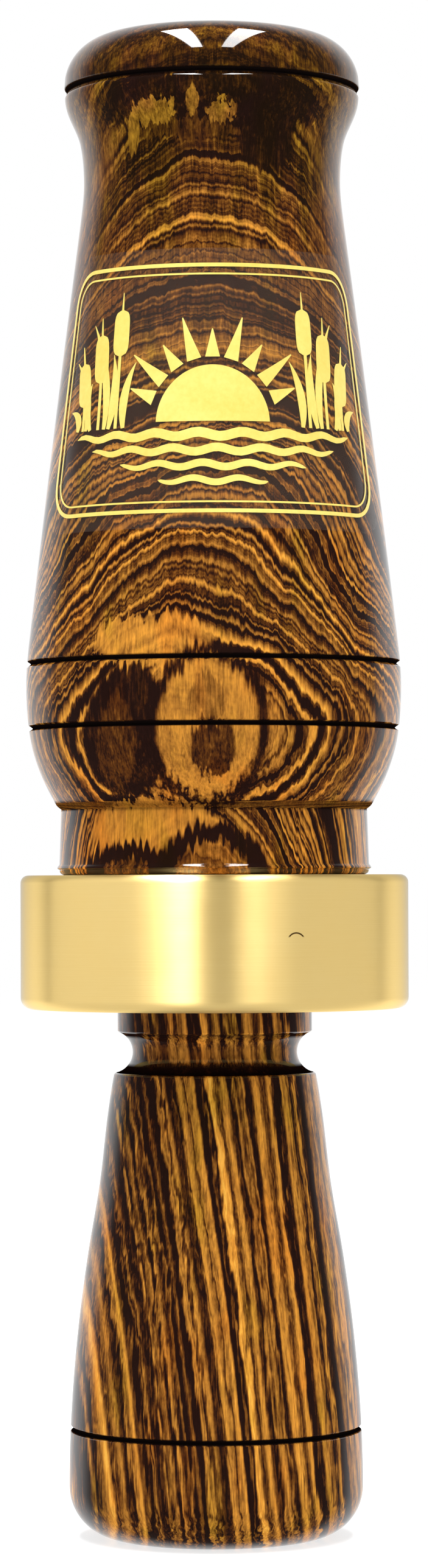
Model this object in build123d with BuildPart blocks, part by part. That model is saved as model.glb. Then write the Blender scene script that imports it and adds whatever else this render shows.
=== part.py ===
"""A turned duck call: a hardwood barrel with a brass band, slid over a hardwood end piece.

The end piece carries a moulded tone board, two reeds held by a cork wedge, and two O-rings.
Millimetres, +Z up. The call stands on the bell of its end piece: the origin is the centre of
that flat end, and +Z runs along the bore towards the mouth. The reeds face -Y.
"""

import os
from math import cos, hypot, radians, sin, tan

from build123d import *

os.makedirs("parts", exist_ok=True)

# ---- Driving dimensions: heights along the bore ---------------------------------------------
OVERALL_LENGTH = 135.0
JOINT_HEIGHT = 47.4  # where the barrel's end meets the end piece's collar
BAND_HEIGHT = 12.0
BAND_TOP = JOINT_HEIGHT + BAND_HEIGHT

# ---- Driving dimensions: bores and fits -----------------------------------------------------
SOCKET_RADIUS = 7.94  # 5/8 inch bore that takes the tenon
MOUTH_RADIUS = 7.14  # 9/16 inch bore at the mouth
TENON_RADIUS = 7.62
BAND_OUTER_RADIUS = 17.46  # 1 3/8 inch band
BAND_SEAT_RADIUS = 12.7  # 1 inch seat turned on the barrel
RING_CORD_RADIUS = 0.89  # 1.78 mm O-ring cord
RING_CLEARANCE = 0.04
HALF_SPACE = 30.0  # reach of a cutting solid, well past the call's own radius
OVERCUT = 0.5  # how far a cut starts outside the surface it opens


def save(piece, name):
    """Labels a finished piece and writes its STEP file."""
    piece.label = name
    export_step(piece, f"parts/{name}.step")


def circle_through(a, b, c):
    """Centre and radius of the circle through three points of a profile."""
    d = 2 * (a[0] * (b[1] - c[1]) + b[0] * (c[1] - a[1]) + c[0] * (a[1] - b[1]))
    squares = [p[0] ** 2 + p[1] ** 2 for p in (a, b, c)]
    x = (squares[0] * (b[1] - c[1]) + squares[1] * (c[1] - a[1]) + squares[2] * (a[1] - b[1])) / d
    y = (squares[0] * (c[0] - b[0]) + squares[1] * (a[0] - c[0]) + squares[2] * (b[0] - a[0])) / d
    return (x, y), hypot(a[0] - x, a[1] - y)


# ---- Barrel ---------------------------------------------------------------------------------
NECK_BOTTOM_RADIUS = 13.96
NECK_TOP_RADIUS = 13.8
NECK_TOP = 65.0
BEAD_EDGE = (14.2, 65.7)
BELLY_LOW = (16.2, 70.2)
BELLY_WIDEST = (16.9, 75.9)
BELLY_TOP = (16.6, 80.6)
BODY_TAPER = radians(7.1)  # the body's slope above the belly and at its top
BODY_MIDDLE = (14.25, 100.0)
BODY_TOP = (11.92, 118.0)
WAIST = (11.58, 122.2)
WAIST_TOP = (11.9, 125.4)
LIP_RADIUS = 13.32
LIP_UNDERSIDE = (13.22, 129.0)
LIP_ROUND = 4.4
LIP_CREST_RADIUS = LIP_RADIUS - LIP_ROUND
INNER_ROUND = LIP_CREST_RADIUS - MOUTH_RADIUS
SOCKET_TOP = 116.0
SHOULDER_ROUND = 0.5
SOCKET_CHAMFER = 0.5
# Burned lines around the belly and under the lip, each as its surface radius and height.
BARREL_GROOVES = ((16.68, 72.6), (16.8, 78.4), (LIP_RADIUS, 129.9))
GROOVE_WIDTH = 0.5
GROOVE_DEPTH = 0.4

body_slope = (-sin(BODY_TAPER), cos(BODY_TAPER))

with BuildPart() as barrel:
    with BuildSketch(Plane.XZ):
        with BuildLine():
            Polyline(
                (SOCKET_RADIUS + SOCKET_CHAMFER, JOINT_HEIGHT),
                (BAND_SEAT_RADIUS, JOINT_HEIGHT),
                (BAND_SEAT_RADIUS, BAND_TOP),
                (NECK_BOTTOM_RADIUS - SHOULDER_ROUND, BAND_TOP),
            )
            RadiusArc(
                (NECK_BOTTOM_RADIUS - SHOULDER_ROUND, BAND_TOP),
                (NECK_BOTTOM_RADIUS, BAND_TOP + SHOULDER_ROUND),
                -SHOULDER_ROUND,
            )
            Polyline(
                (NECK_BOTTOM_RADIUS, BAND_TOP + SHOULDER_ROUND),
                (NECK_TOP_RADIUS, NECK_TOP),
                BEAD_EDGE,
            )
            Spline(
                BEAD_EDGE,
                BELLY_LOW,
                BELLY_WIDEST,
                BELLY_TOP,
                tangents=((0.6, 1), body_slope),
            )
            ThreePointArc(BELLY_TOP, BODY_MIDDLE, BODY_TOP)
            Spline(
                BODY_TOP,
                WAIST,
                WAIST_TOP,
                LIP_UNDERSIDE,
                (LIP_RADIUS, OVERALL_LENGTH - LIP_ROUND),
                tangents=(body_slope, (0, 1)),
            )
            RadiusArc(
                (LIP_RADIUS, OVERALL_LENGTH - LIP_ROUND),
                (LIP_CREST_RADIUS, OVERALL_LENGTH),
                -LIP_ROUND,
            )
            RadiusArc(
                (LIP_CREST_RADIUS, OVERALL_LENGTH),
                (MOUTH_RADIUS, OVERALL_LENGTH - INNER_ROUND),
                -INNER_ROUND,
            )
            Polyline(
                (MOUTH_RADIUS, OVERALL_LENGTH - INNER_ROUND),
                (MOUTH_RADIUS, SOCKET_TOP + SOCKET_RADIUS - MOUTH_RADIUS),
                (SOCKET_RADIUS, SOCKET_TOP),
                (SOCKET_RADIUS, JOINT_HEIGHT + SOCKET_CHAMFER),
                (SOCKET_RADIUS + SOCKET_CHAMFER, JOINT_HEIGHT),
            )
        make_face()
    revolve(axis=Axis.Z)
    for surface, height in BARREL_GROOVES:
        with BuildSketch(Plane.XZ):
            with BuildLine():
                Polyline(
                    (surface - GROOVE_DEPTH, height),
                    (surface + GROOVE_DEPTH, height + GROOVE_WIDTH),
                    (surface + GROOVE_DEPTH, height - GROOVE_WIDTH),
                    close=True,
                )
            make_face()
        revolve(axis=Axis.Z, mode=Mode.SUBTRACT)
save(barrel.part, "barrel")

# ---- Brass band, pressed on the barrel's end ------------------------------------------------
BAND_BOTTOM_ROUND = 1.0
BAND_TOP_ROUND = 0.7

with BuildPart() as band:
    with Locations((0, 0, JOINT_HEIGHT)):
        Cylinder(BAND_OUTER_RADIUS, BAND_HEIGHT, align=(Align.CENTER, Align.CENTER, Align.MIN))
    rims = band.edges().filter_by(GeomType.CIRCLE).sort_by(Axis.Z)
    fillet(rims[0], BAND_BOTTOM_ROUND)
    fillet(band.edges().filter_by(GeomType.CIRCLE).sort_by(Axis.Z)[-1], BAND_TOP_ROUND)
    with Locations((0, 0, BAND_TOP)):
        Hole(BAND_SEAT_RADIUS)
save(band.part, "band")

# ---- Emblem film, wrapped on the front of the barrel ----------------------------------------
FILM_THICKNESS = 0.08
FILM_BOTTOM = 89.6
FILM_TOP = 114.4
FILM_SECTOR = 152.0  # degrees around the barrel, centred on -Y
FILM_CORNER = 4.0

body_centre, body_arc_radius = circle_through(BELLY_TOP, BODY_MIDDLE, BODY_TOP)


def body_point(height, outset):
    """A point outset from the barrel's long body arc, at about the given height."""
    inner = body_centre[0] + (body_arc_radius**2 - (height - body_centre[1]) ** 2) ** 0.5
    share = (body_arc_radius + outset) / body_arc_radius
    return (
        body_centre[0] + (inner - body_centre[0]) * share,
        body_centre[1] + (height - body_centre[1]) * share,
    )


film_heights = (FILM_BOTTOM, (FILM_BOTTOM + FILM_TOP) / 2, FILM_TOP)
inner_points = [body_point(height, 0) for height in film_heights]
outer_points = [body_point(height, FILM_THICKNESS) for height in film_heights]
film_side = radians(FILM_SECTOR / 2)

with BuildPart() as emblem_film:
    with BuildSketch(Plane.XZ.rotated((0, 0, (FILM_SECTOR - 180) / 2))):
        with BuildLine():
            ThreePointArc(*inner_points)
            Line(inner_points[-1], outer_points[-1])
            ThreePointArc(*outer_points)
            Line(inner_points[0], outer_points[0])
        make_face()
    revolve(axis=Axis.Z, revolution_arc=-FILM_SECTOR)
    # Each corner is rounded by cutting away what lies outside a circle set in from both edges.
    for side in (-1, 1):
        for edge_height, end in ((FILM_BOTTOM, -1), (FILM_TOP, 1)):
            radius = body_point(edge_height, 0)[0]
            turn = side * (film_side - FILM_CORNER / radius)
            corner_plane = Plane(
                origin=(radius * sin(turn), -radius * cos(turn), edge_height - end * FILM_CORNER),
                x_dir=(cos(turn), sin(turn), 0),
                z_dir=(sin(turn), -cos(turn), 0),
            )
            with BuildSketch(corner_plane):
                with Locations((side * FILM_CORNER, end * FILM_CORNER)):
                    Rectangle(2 * FILM_CORNER, 2 * FILM_CORNER)
                Circle(FILM_CORNER, mode=Mode.SUBTRACT)
            extrude(amount=FILM_CORNER / 2, both=True, mode=Mode.SUBTRACT)
save(emblem_film.part, "emblem_film")

# ---- End piece: collar, lanyard cove and flared bell ----------------------------------------
COLLAR_RADIUS = 8.75
COLLAR_BOTTOM = 45.3
COLLAR_CHAMFER = 0.25
COVE_RADIUS = 7.41
COVE_MIDDLE = 43.45
COVE_BOTTOM = 41.65
BELL_TOP_RADIUS = 9.12
BELL_POINTS = ((9.6, 38.4), (10.4, 31.8), (11.53, 25.1), (12.5, 17.6))
BELL_RADIUS = 13.2
BELL_ROUND = 4.6
BELL_GROOVE = 9.8
SPIGOT_RADIUS = 5.6
SPIGOT_LENGTH = 14.0
EXHAUST_RADIUS = 4.76  # 3/8 inch bore
EXHAUST_BOTTOM = 13.0
BELL_MOUTH_RADIUS = 6.2
BELL_MOUTH_ROUND = 0.8
EDGE_ROUND = 0.3
socket_floor = JOINT_HEIGHT - SPIGOT_LENGTH

with BuildPart() as end_piece:
    with BuildSketch(Plane.XZ):
        with BuildLine():
            Polyline(
                (SPIGOT_RADIUS, JOINT_HEIGHT),
                (COLLAR_RADIUS - COLLAR_CHAMFER, JOINT_HEIGHT),
                (COLLAR_RADIUS, JOINT_HEIGHT - COLLAR_CHAMFER),
                (COLLAR_RADIUS, COLLAR_BOTTOM),
            )
            ThreePointArc(
                (COLLAR_RADIUS, COLLAR_BOTTOM),
                (COVE_RADIUS, COVE_MIDDLE),
                (BELL_TOP_RADIUS - EDGE_ROUND, COVE_BOTTOM),
            )
            RadiusArc(
                (BELL_TOP_RADIUS - EDGE_ROUND, COVE_BOTTOM),
                (BELL_TOP_RADIUS, COVE_BOTTOM - EDGE_ROUND),
                EDGE_ROUND,
            )
            Spline(
                (BELL_TOP_RADIUS, COVE_BOTTOM - EDGE_ROUND),
                *BELL_POINTS,
                (BELL_RADIUS, BELL_ROUND),
                tangents=((0.2, -1), (0, -1)),
            )
            RadiusArc(
                (BELL_RADIUS, BELL_ROUND),
                (BELL_RADIUS - BELL_ROUND, 0),
                BELL_ROUND,
            )
            Line((BELL_RADIUS - BELL_ROUND, 0), (BELL_MOUTH_RADIUS + BELL_MOUTH_ROUND, 0))
            RadiusArc(
                (BELL_MOUTH_RADIUS + BELL_MOUTH_ROUND, 0),
                (BELL_MOUTH_RADIUS, BELL_MOUTH_ROUND),
                BELL_MOUTH_ROUND,
            )
            Polyline(
                (BELL_MOUTH_RADIUS, BELL_MOUTH_ROUND),
                (EXHAUST_RADIUS, EXHAUST_BOTTOM),
                (EXHAUST_RADIUS, socket_floor),
                (SPIGOT_RADIUS, socket_floor),
                (SPIGOT_RADIUS, JOINT_HEIGHT),
            )
        make_face()
    revolve(axis=Axis.Z)
    with BuildSketch(Plane.XZ):
        with BuildLine():
            Polyline(
                (BELL_RADIUS - 2 * GROOVE_DEPTH, BELL_GROOVE),
                (BELL_RADIUS + GROOVE_DEPTH, BELL_GROOVE + GROOVE_WIDTH),
                (BELL_RADIUS + GROOVE_DEPTH, BELL_GROOVE - GROOVE_WIDTH),
                close=True,
            )
        make_face()
    revolve(axis=Axis.Z, mode=Mode.SUBTRACT)
save(end_piece.part, "end_piece")

# ---- Tone board: spigot, tenon with two ring grooves, and the board itself ------------------
BOARD_FACE = -1.0  # Y of the flat that the reeds lie on
BOARD_TIP = 113.0
BOARD_BORE_RADIUS = 3.97  # 5/16 inch
NOTCH_FLOOR = 64.0  # where the tenon's slanted end wall meets the flat
NOTCH_SLANT = radians(35)
FACE_BEND = 81.0  # beyond this the flat curves away from the reeds
TIP_DROP = 2.0
TIP_CORNER = 5.0
RING_HEIGHTS = (51.4, 59.0)
RING_GROOVE_WIDTH = 2.2
CHANNEL_WIDTH = 6.4
CHANNEL_DEPTH = 4.3
CHANNEL_RISE_START = 74.0
CHANNEL_END = 104.0
CHANNEL_END_DEPTH = 2.2
CHANNEL_END_ROUND = 3.1
TIP_THINNING_START = 100.0
TIP_THICKNESS = 4.2

ring_path_radius = SOCKET_RADIUS - RING_CLEARANCE - RING_CORD_RADIUS
ring_floor_radius = ring_path_radius - RING_CORD_RADIUS - RING_CLEARANCE
tip_face = BOARD_FACE + TIP_DROP
face_run = BOARD_TIP - FACE_BEND
face_curve_radius = (face_run**2 + TIP_DROP**2) / (2 * TIP_DROP)
half_run_drop = face_curve_radius - (face_curve_radius**2 - (face_run / 2) ** 2) ** 0.5
notch_reach = HALF_SPACE * tan(NOTCH_SLANT)

# The trough under the reeds, whose floor rises towards a rounded end.
with BuildPart(mode=Mode.PRIVATE) as tone_channel:
    with BuildSketch(Plane.YZ):
        with BuildLine():
            Polyline(
                (BOARD_FACE + CHANNEL_DEPTH, NOTCH_FLOOR - OVERCUT),
                (BOARD_FACE + CHANNEL_DEPTH, CHANNEL_RISE_START),
                (BOARD_FACE + CHANNEL_END_DEPTH, CHANNEL_END),
                (BOARD_FACE - OVERCUT, CHANNEL_END),
                (BOARD_FACE - OVERCUT, NOTCH_FLOOR - OVERCUT),
                close=True,
            )
        make_face()
    extrude(amount=CHANNEL_WIDTH / 2, both=True)
    channel_ends = tone_channel.edges().filter_by(Axis.Y).group_by(Axis.Z)[-1]
    fillet(channel_ends, CHANNEL_END_ROUND)

with BuildPart() as tone_board:
    with Locations((0, 0, socket_floor)):
        Cylinder(SPIGOT_RADIUS, SPIGOT_LENGTH, align=(Align.CENTER, Align.CENTER, Align.MIN))
    with Locations((0, 0, JOINT_HEIGHT)):
        Cylinder(
            TENON_RADIUS,
            BOARD_TIP - JOINT_HEIGHT,
            align=(Align.CENTER, Align.CENTER, Align.MIN),
        )
    for height in RING_HEIGHTS:
        with BuildSketch(Plane.XZ):
            with Locations((ring_floor_radius + HALF_SPACE / 2, height)):
                Rectangle(HALF_SPACE, RING_GROOVE_WIDTH)
        revolve(axis=Axis.Z, mode=Mode.SUBTRACT)
    # The half above the board's face, with the slanted wall that overhangs the notch.
    with BuildSketch(Plane.YZ):
        with BuildLine():
            Polyline(
                (BOARD_FACE, FACE_BEND),
                (BOARD_FACE, NOTCH_FLOOR),
                (BOARD_FACE - HALF_SPACE, NOTCH_FLOOR + notch_reach),
                (BOARD_FACE - HALF_SPACE, BOARD_TIP + HALF_SPACE),
                (tip_face, BOARD_TIP + HALF_SPACE),
                (tip_face, BOARD_TIP),
            )
            ThreePointArc(
                (BOARD_FACE, FACE_BEND),
                (BOARD_FACE + half_run_drop, FACE_BEND + face_run / 2),
                (tip_face, BOARD_TIP),
            )
        make_face()
    extrude(amount=HALF_SPACE, both=True, mode=Mode.SUBTRACT)
    # The tip is thinned from behind and rounded in plan.
    with BuildSketch(Plane.YZ):
        with BuildLine():
            Polyline(
                (TENON_RADIUS + OVERCUT, TIP_THINNING_START),
                (tip_face + TIP_THICKNESS, BOARD_TIP + OVERCUT),
                (HALF_SPACE, BOARD_TIP + OVERCUT),
                close=True,
            )
        make_face()
    extrude(amount=HALF_SPACE, both=True, mode=Mode.SUBTRACT)
    with BuildSketch(Plane.XZ):
        with Locations((0, BOARD_TIP)):
            Rectangle(4 * TENON_RADIUS, 2 * TIP_CORNER)
        with Locations((0, BOARD_TIP - TIP_CORNER)):
            Ellipse(TENON_RADIUS, TIP_CORNER, mode=Mode.SUBTRACT)
    extrude(amount=HALF_SPACE, both=True, mode=Mode.SUBTRACT)
    # The bore through spigot and tenon.
    with BuildSketch(Plane.XY.offset(socket_floor)):
        Circle(BOARD_BORE_RADIUS)
    extrude(amount=NOTCH_FLOOR + BOARD_BORE_RADIUS - socket_floor, mode=Mode.SUBTRACT)
    add(tone_channel.part, mode=Mode.SUBTRACT)
save(tone_board.part, "tone_board")

# ---- Reeds: two flat strips of polyester film, clamped under the wedge ----------------------
REED_THICKNESS = 0.25
REED_GAP = 0.01
REED_HALF_WIDTH = 6.4
REED_TAIL = 64.8
LOWER_REED_TIP = 111.2
UPPER_REED_TIP = 107.4
REED_CORNER = 2.4
WEDGE_FRONT = 77.0
DIMPLE_HEIGHT = 99.0
DIMPLE_RADIUS = 1.1
DIMPLE_DEPTH = 0.28

lower_reed_back = BOARD_FACE - REED_GAP
lower_reed_front = lower_reed_back - REED_THICKNESS
upper_reed_back = lower_reed_front - REED_GAP
upper_reed_front = upper_reed_back - REED_THICKNESS

with BuildPart() as lower_reed:
    with BuildSketch(Plane.XZ.offset(-lower_reed_back)):
        with Locations((0, (REED_TAIL + LOWER_REED_TIP) / 2)):
            Rectangle(2 * REED_HALF_WIDTH, LOWER_REED_TIP - REED_TAIL)
    extrude(amount=REED_THICKNESS)
    tip_corners = lower_reed.edges().filter_by(Axis.Y).group_by(Axis.Z)[-1]
    fillet(tip_corners, REED_CORNER)
save(lower_reed.part, "lower_reed")

# Past the wedge the upper reed stands off on the dimple pressed into it.
stand_off = DIMPLE_DEPTH * (UPPER_REED_TIP - WEDGE_FRONT) / (DIMPLE_HEIGHT - WEDGE_FRONT)
dimple_ball_radius = (DIMPLE_RADIUS**2 + DIMPLE_DEPTH**2) / (2 * DIMPLE_DEPTH)
upper_reed_profile = (
    (upper_reed_back, REED_TAIL),
    (upper_reed_back, WEDGE_FRONT),
    (upper_reed_back - stand_off, UPPER_REED_TIP),
    (upper_reed_front - stand_off, UPPER_REED_TIP),
    (upper_reed_front, WEDGE_FRONT),
    (upper_reed_front, REED_TAIL),
)

with BuildPart() as upper_reed:
    with BuildSketch(Plane.YZ):
        with BuildLine():
            Polyline(*upper_reed_profile, close=True)
        make_face()
    extrude(amount=REED_HALF_WIDTH, both=True)
    tip_corners = upper_reed.edges().filter_by(Axis.X, reverse=True).group_by(Axis.Z)[-1]
    fillet(tip_corners, REED_CORNER)
    with Locations((0, upper_reed_back - dimple_ball_radius, DIMPLE_HEIGHT)):
        Sphere(dimple_ball_radius)
    with BuildSketch(Plane.YZ):
        with BuildLine():
            Polyline(
                (upper_reed_front, WEDGE_FRONT),
                (upper_reed_front - stand_off, UPPER_REED_TIP),
                (upper_reed_front - stand_off, UPPER_REED_TIP + HALF_SPACE),
                (upper_reed_front - HALF_SPACE, UPPER_REED_TIP + HALF_SPACE),
                (upper_reed_front - HALF_SPACE, WEDGE_FRONT),
                close=True,
            )
        make_face()
    extrude(amount=HALF_SPACE, both=True, mode=Mode.SUBTRACT)
save(upper_reed.part, "upper_reed")

# ---- Wedge: a D-shaped cork block pushed under the tenon's overhang -------------------------
WEDGE_RADIUS = 7.4
WEDGE_HALF_WIDTH = 6.9
WEDGE_FRONT_SLANT = radians(14)
wedge_back = upper_reed_front - REED_GAP
wedge_reach = WEDGE_RADIUS
wedge_tail = NOTCH_FLOOR + (BOARD_FACE - wedge_back) * tan(NOTCH_SLANT)

with BuildPart() as wedge:
    with Locations((0, 0, NOTCH_FLOOR)):
        Cylinder(WEDGE_RADIUS, HALF_SPACE, align=(Align.CENTER, Align.CENTER, Align.MIN))
    with BuildSketch(Plane.YZ):
        with BuildLine():
            Polyline(
                (wedge_back, wedge_tail),
                (wedge_back - wedge_reach, wedge_tail + wedge_reach * tan(NOTCH_SLANT)),
                (wedge_back - wedge_reach, WEDGE_FRONT - wedge_reach * tan(WEDGE_FRONT_SLANT)),
                (wedge_back, WEDGE_FRONT),
                close=True,
            )
        make_face()
    extrude(amount=WEDGE_HALF_WIDTH, both=True, mode=Mode.INTERSECT)
save(wedge.part, "wedge")

# ---- O-rings in the tenon's grooves ---------------------------------------------------------
with BuildPart() as lower_o_ring:
    with BuildSketch(Plane.XZ):
        with Locations((ring_path_radius, RING_HEIGHTS[0])):
            Circle(RING_CORD_RADIUS)
    revolve(axis=Axis.Z)
save(lower_o_ring.part, "lower_o_ring")

with BuildPart() as upper_o_ring:
    with BuildSketch(Plane.XZ):
        with Locations((ring_path_radius, RING_HEIGHTS[1])):
            Circle(RING_CORD_RADIUS)
    revolve(axis=Axis.Z)
save(upper_o_ring.part, "upper_o_ring")
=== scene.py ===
"""Looks of a turned duck call: bocote barrel and end piece, satin brass band, gold print on a film.

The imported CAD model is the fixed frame. Lengths below are in millimetres unless a name says
otherwise, and `MM` turns them into Blender's metres where a mesh, light or camera is made.
"""

import math

import bmesh
import bpy
from mathutils import Matrix, Vector, noise


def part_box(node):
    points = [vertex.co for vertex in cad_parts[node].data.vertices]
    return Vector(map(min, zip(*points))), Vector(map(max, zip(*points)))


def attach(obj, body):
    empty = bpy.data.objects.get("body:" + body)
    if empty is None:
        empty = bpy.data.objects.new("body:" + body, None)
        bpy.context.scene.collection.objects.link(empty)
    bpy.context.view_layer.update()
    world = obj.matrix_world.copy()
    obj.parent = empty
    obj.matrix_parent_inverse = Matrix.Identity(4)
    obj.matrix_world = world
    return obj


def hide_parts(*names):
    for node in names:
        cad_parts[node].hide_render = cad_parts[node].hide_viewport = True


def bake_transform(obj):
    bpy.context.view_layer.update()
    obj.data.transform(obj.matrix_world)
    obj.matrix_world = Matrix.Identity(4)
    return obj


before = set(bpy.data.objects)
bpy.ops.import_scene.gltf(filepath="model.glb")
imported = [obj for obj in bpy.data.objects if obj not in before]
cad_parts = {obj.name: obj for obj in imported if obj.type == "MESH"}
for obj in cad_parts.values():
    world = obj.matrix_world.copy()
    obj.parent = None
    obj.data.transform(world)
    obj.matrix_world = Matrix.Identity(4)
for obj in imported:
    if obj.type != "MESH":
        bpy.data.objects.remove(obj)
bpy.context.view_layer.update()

MM = 0.001

# ---- Heights and radii that the frame gives ----
barrel_low, barrel_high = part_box("barrel")
band_low, band_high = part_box("band")
film_low, film_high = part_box("emblem_film")
JOINT_HEIGHT = barrel_low.z / MM
OVERALL_LENGTH = barrel_high.z / MM
BAND_TOP = band_high.z / MM
BAND_RADIUS = band_high.x / MM
BELLY_RADIUS = barrel_high.x / MM
BELL_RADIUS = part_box("end_piece")[1].x / MM
FILM_BOTTOM = film_low.z / MM
FILM_TOP = film_high.z / MM

# ---- The turned profiles, with finer detail than the CAD's ----
SOCKET_RADIUS = 7.94
MOUTH_RADIUS = 7.14
SEAT_RADIUS = 12.7
NECK_BOTTOM_RADIUS = 13.96
SHOULDER_ROUND = 0.5
NECK_TOP = (13.8, 65.0)
BEAD_EDGE = (14.2, 65.7)
BODY_START = (16.6, 80.6)
BODY_END = (11.92, 118.0)
LIP_START = (13.32, 130.6)
BELLY = (BEAD_EDGE, (16.2, 70.2), (BELLY_RADIUS, 75.9), BODY_START)
BODY = (BODY_START, (14.25, 100.0), BODY_END)
WAIST = (BODY_END, (11.58, 122.2), (11.9, 125.4), (13.22, 129.0), LIP_START)
BODY_TAPER = math.radians(7.1)
LIP_ROUND = 4.4
SOCKET_TOP = 116.0
SOCKET_CHAMFER = 0.5
# The bead of lacquer above the band: how far it stands out, and its height over the shoulder.
LACQUER_BEAD = ((0.14, 0.06), (0.19, 0.12), (0.18, 0.2), (0.12, 0.3), (0.04, 0.4), (-0.01, 0.48))
# Each burned line: its height, and how softly the wood rounds into it from below.
BARREL_LINES = ((72.6, 1.0), (78.4, 1.3), (130.1, 3.0))
COLLAR_RADIUS = 8.75
COLLAR_BOTTOM = 45.3
COVE_RADIUS = 7.41
COVE_MIDDLE = 43.45
COVE_BOTTOM = 41.65
# Painted shade darkens the cove above the first height and below the second.
COVE_SHADE_HEIGHTS = (44.6, 42.7)
BELL_TOP_RADIUS = 9.12
BELL_CURVE = ((9.6, 38.4), (10.4, 31.8), (11.53, 25.1), (12.5, 17.6))
BELL_ROUND = 4.6
BELL_LINE = 9.8
SPIGOT_RADIUS = 5.6
SPIGOT_LENGTH = 14.0
EXHAUST_RADIUS = 4.76
EXHAUST_BOTTOM = 13.0
BELL_MOUTH_RADIUS = 6.2
BELL_MOUTH_ROUND = 0.8
LINE_HALF_WIDTH = 0.21
LINE_DEPTH = 0.36
# A burned V-line from its rim to its bottom: how far aside and how deep each point lies, as shares
# of the line's half width and depth, and how charred it is. LINE_WALL is where its wall starts.
LINE_SHAPE = (
    (1.9, 0.0, 0.0),
    (1.5, 0.04, 0.05),
    (1.25, 0.14, 0.3),
    (1.0, 0.32, 0.85),
    (0.8, 0.55, 1.0),
    (0.2, 0.95, 1.0),
    (0.0, 1.0, 1.0),
)
LINE_WALL = 0.8
LATHE_SEGMENTS = 224
O_RING_SEGMENTS = 160
SHARP_TURN = math.radians(32)


# ---- Colours ----
def linear(colour):
    """An sRGB colour as the linear RGBA that shaders take."""
    shares = [c / 12.92 if c <= 0.04045 else ((c + 0.055) / 1.055) ** 2.4 for c in colour]
    return (*shares, 1.0)


# ---- Curves for profiles ----
def arc(centre, radius, start_degrees, end_degrees, steps=12):
    """Points of a circular arc, ends included."""
    turns = [start_degrees + (end_degrees - start_degrees) * i / steps for i in range(steps + 1)]
    return [
        (
            centre[0] + radius * math.cos(math.radians(turn)),
            centre[1] + radius * math.sin(math.radians(turn)),
        )
        for turn in turns
    ]


def smooth_curve(points, start_direction, end_direction, steps=10):
    """A cubic curve through the points that leaves and arrives in the given directions."""
    places = [Vector(p) for p in points]
    spans = [(b - a).length for a, b in zip(places, places[1:])]
    slopes = [Vector(start_direction).normalized()]
    for i in range(1, len(places) - 1):
        before = (places[i] - places[i - 1]) / spans[i - 1]
        after = (places[i + 1] - places[i]) / spans[i]
        weight = spans[i - 1] / (spans[i - 1] + spans[i])
        slopes.append(before.lerp(after, weight))
    slopes.append(Vector(end_direction).normalized())
    made = [tuple(places[0])]
    for i, span in enumerate(spans):
        for step in range(1, steps + 1):
            t = step / steps
            made.append(
                tuple(
                    places[i] * (2 * t**3 - 3 * t**2 + 1)
                    + slopes[i] * span * (t**3 - 2 * t**2 + t)
                    + places[i + 1] * (3 * t**2 - 2 * t**3)
                    + slopes[i + 1] * span * (t**3 - t**2)
                )
            )
    return made


def three_point_arc(a, b, c, steps=24):
    """Points of the circle through three points, from the first to the last."""
    d = 2 * (a[0] * (b[1] - c[1]) + b[0] * (c[1] - a[1]) + c[0] * (a[1] - b[1]))
    squares = [p[0] ** 2 + p[1] ** 2 for p in (a, b, c)]
    x = (squares[0] * (b[1] - c[1]) + squares[1] * (c[1] - a[1]) + squares[2] * (a[1] - b[1])) / d
    y = (squares[0] * (c[0] - b[0]) + squares[1] * (a[0] - c[0]) + squares[2] * (b[0] - a[0])) / d
    radius = math.hypot(a[0] - x, a[1] - y)
    turns = [math.atan2(p[1] - y, p[0] - x) for p in (a, b, c)]
    for i in (1, 2):
        while turns[i] - turns[i - 1] > math.pi:
            turns[i] -= 2 * math.pi
        while turns[i] - turns[i - 1] < -math.pi:
            turns[i] += 2 * math.pi
    return arc((x, y), radius, math.degrees(turns[0]), math.degrees(turns[2]), steps)


def corner_inset(past, corner):
    """How far a rounded corner draws a side in, at a distance past the corner's start."""
    return corner - math.sqrt(max(0.0, corner**2 - max(0.0, past) ** 2))


def radius_at(profile, height):
    """The radius of a profile that rises steadily, at a height."""
    for (r0, z0, *_), (r1, z1, *_) in zip(profile, profile[1:]):
        if min(z0, z1) <= height <= max(z0, z1) and z0 != z1:
            return r0 + (r1 - r0) * (height - z0) / (z1 - z0)
    raise ValueError(f"the profile doesn't reach the height {height}")


def burn_line(profile, height, softness=1.0):
    """Cuts a burned V-line into a profile, whose points get a third number: how charred they are.

    Its lower rim is wider, deeper and less charred the softer it is.
    """
    surface = radius_at(profile, height)
    rising = profile[-1][1] > profile[0][1]
    lower = []
    for side, depth, char_and_shade in LINE_SHAPE:
        if side > LINE_WALL:
            side = LINE_WALL + (side - LINE_WALL) * softness
            depth = depth * (0.4 + 0.6 * softness)
            char_and_shade = char_and_shade / softness**1.5
        lower.append((surface - depth * LINE_DEPTH, height - side * LINE_HALF_WIDTH, char_and_shade))
    upper = [
        (surface - depth * LINE_DEPTH, height + side * LINE_HALF_WIDTH, char_and_shade)
        for side, depth, char_and_shade in reversed(LINE_SHAPE[:-1])
    ]
    # The outer points lie on the profile itself, so that the surface stays smooth beside the line.
    cut = lower + upper
    for end in (0, 1, -2, -1):
        cut[end] = (radius_at(profile, cut[end][1]), cut[end][1], cut[end][2])
    if not rising:
        cut.reverse()
    reach = (1.0 + 1.1 * softness) * LINE_HALF_WIDTH
    before = [p for p in profile if (p[1] < height - reach) == rising and abs(p[1] - height) > reach]
    after = [p for p in profile if (p[1] > height + reach) == rising and abs(p[1] - height) > reach]
    return before + cut + after


# ---- Mesh makers ----
def add_object(name, data):
    """A new object in the scene."""
    made = bpy.data.objects.new(name, data)
    bpy.context.scene.collection.objects.link(made)
    return made


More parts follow.
